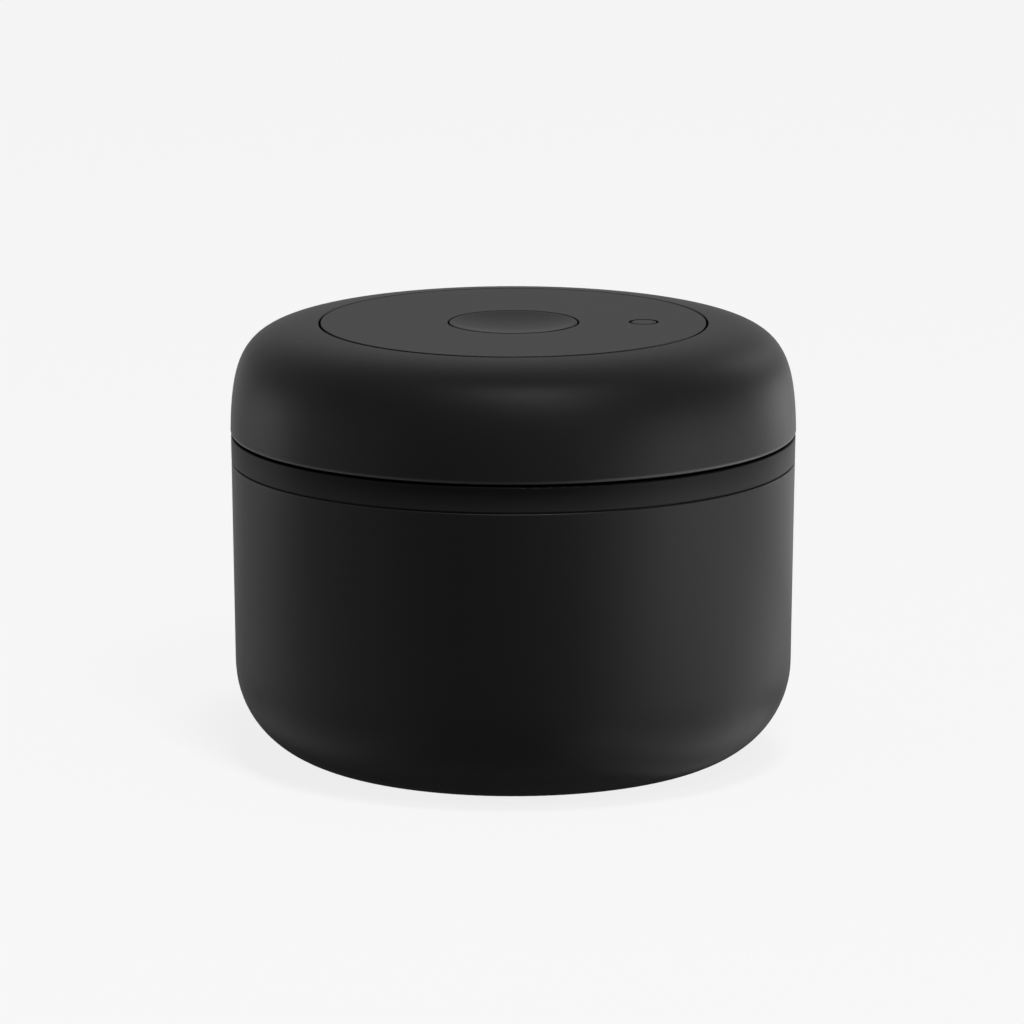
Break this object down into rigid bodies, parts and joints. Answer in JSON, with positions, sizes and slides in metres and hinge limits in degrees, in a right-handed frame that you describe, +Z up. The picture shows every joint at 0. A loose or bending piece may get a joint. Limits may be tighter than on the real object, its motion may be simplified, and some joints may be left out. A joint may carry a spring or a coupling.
{
  "type": "vacuum coffee canister",
  "caption": "Squat round steel canister with a domed twist-pump lid: its flat top holds a dished air-release button and a small vacuum indicator.",
  "frame": {"origin": "centre of the ring that the canister stands on, at the table", "axes": "+Z up along the canister's axis; +X from the axis through the vacuum indicator; the picture looks along +Y"},
  "size_m": [0.11, 0.11, 0.0865],
  "materials": {
    "powder_coat": "matte black powder coat on drawn steel",
    "cap_plastic": "fine spark-eroded matte black moulding",
    "top_plastic": "fine matte black moulding",
    "button_plastic": "fine matte black moulding",
    "band_plastic": "satin black moulding",
    "silicone": "soft grey silicone",
    "acetal": "natural white acetal, smooth",
    "pump_plastic": "grey glass-filled moulding",
    "screw_steel": "zinc-plated steel",
    "spring_steel": "drawn stainless wire",
    "tube_steel": "ground stainless tube",
    "indicator_green": "green signal plastic",
    "filter_fabric": "thin non-woven filter sheet"
  },
  "bodies": {
    "canister": {"canister_shell": "powder_coat"},
    "lid_base": {"lid_base": "band_plastic", "rim_gasket": "silicone", "glide_ring": "band_plastic", "pump_gasket": "silicone", "pump_block": "pump_plastic", "pump_block_screws": "screw_steel", "valve_tube": "tube_steel", "release_spring": "spring_steel", "carrier_plate": "pump_plastic", "carrier_screws": "screw_steel", "top_plate": "top_plastic", "indicator_sleeve": "indicator_green", "indicator_spring": "spring_steel", "filter_mesh": "filter_fabric", "filter_grille": "band_plastic", "inlet_valve_1": "silicone", "inlet_valve_2": "silicone", "inlet_valve_3": "silicone"},
    "twist_cap": {"cap_shell": "cap_plastic", "cam_ring": "acetal", "cam_ring_screws": "screw_steel"},
    "pump_crosshead": {"crosshead": "pump_plastic", "piston_screws": "screw_steel", "piston_1": "pump_plastic", "piston_2": "pump_plastic", "piston_3": "pump_plastic", "piston_cup_1": "silicone", "piston_cup_2": "silicone", "piston_cup_3": "silicone", "cam_follower_1": "acetal", "cam_follower_2": "acetal", "cam_follower_3": "acetal"},
    "release_valve": {"release_button": "button_plastic", "release_stem": "acetal", "release_seal": "silicone", "stem_clip": "screw_steel"},
    "vacuum_indicator": {"indicator_pin": "button_plastic", "indicator_seal": "silicone"}
  },
  "joints": [
    {"name": "lid_lift", "type": "slide", "parent": "canister", "child": "lid_base", "axis": [0, 0, 1], "range_m": [0, 0.06]},
    {"name": "cap_twist", "type": "hinge", "parent": "lid_base", "child": "twist_cap", "pos_m": [0, 0, 0.0759], "axis": [0, 0, 1], "range_deg": [0, 75]},
    {"name": "pump_stroke", "type": "slide", "parent": "lid_base", "child": "pump_crosshead", "axis": [0, 0, 1], "range_m": [0, 0.00898]},
    {"name": "button_press", "type": "slide", "parent": "lid_base", "child": "release_valve", "axis": [0, 0, -1], "range_m": [0, 0.002], "stiffness_N_per_m": 1500, "springref_m": -0.002, "deforming": ["release_spring"]},
    {"name": "indicator_drop", "type": "slide", "parent": "lid_base", "child": "vacuum_indicator", "axis": [0, 0, -1], "range_m": [0, 0.0025], "stiffness_N_per_m": 200, "springref_m": -0.0025, "deforming": ["indicator_spring"]}
  ],
  "couplings": [
    {"joint": "pump_stroke", "follows": "cap_twist", "m_per_rad": 0.0068564}
  ]
}
